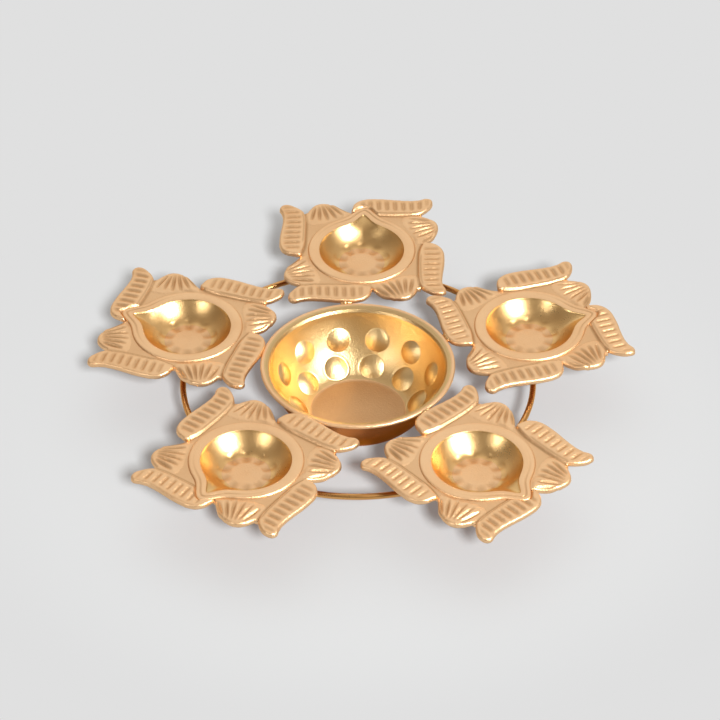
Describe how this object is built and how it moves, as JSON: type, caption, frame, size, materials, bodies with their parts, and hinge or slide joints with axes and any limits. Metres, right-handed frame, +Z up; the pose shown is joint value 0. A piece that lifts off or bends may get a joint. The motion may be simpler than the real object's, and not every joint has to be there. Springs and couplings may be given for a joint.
{
  "type": "urli with diyas",
  "caption": "Round shallow bowl for water and flowers, ringed by lotus-shaped lamp dishes with spouted cups and ribbed petals, welded to its lip and to a wire ring.",
  "frame": {"origin": "centre of the bowl's foot, on the table", "axes": "+Z up; +Y from the bowl's axis towards the lamp dish at the back, whose spout points that way"},
  "size_m": [0.3138, 0.2997, 0.0382],
  "materials": {
    "bowl_metal": "polished gold-coloured plating over sheet metal, copper brown outside",
    "dish_metal": "satin gold-coloured plating over pressed sheet metal",
    "ring_metal": "dark gold-coloured plating over wire",
    "weld_metal": "plated weld bead"
  },
  "bodies": {
    "root": {"bowl": "bowl_metal", "ring": "ring_metal", "diya_1": "dish_metal", "rim_weld_1": "weld_metal", "ring_weld_1": "weld_metal", "diya_2": "dish_metal", "rim_weld_2": "weld_metal", "ring_weld_2": "weld_metal", "diya_3": "dish_metal", "rim_weld_3": "weld_metal", "ring_weld_3": "weld_metal", "diya_4": "dish_metal", "rim_weld_4": "weld_metal", "ring_weld_4": "weld_metal", "diya_5": "dish_metal", "rim_weld_5": "weld_metal", "ring_weld_5": "weld_metal"}
  },
  "joints": []
}
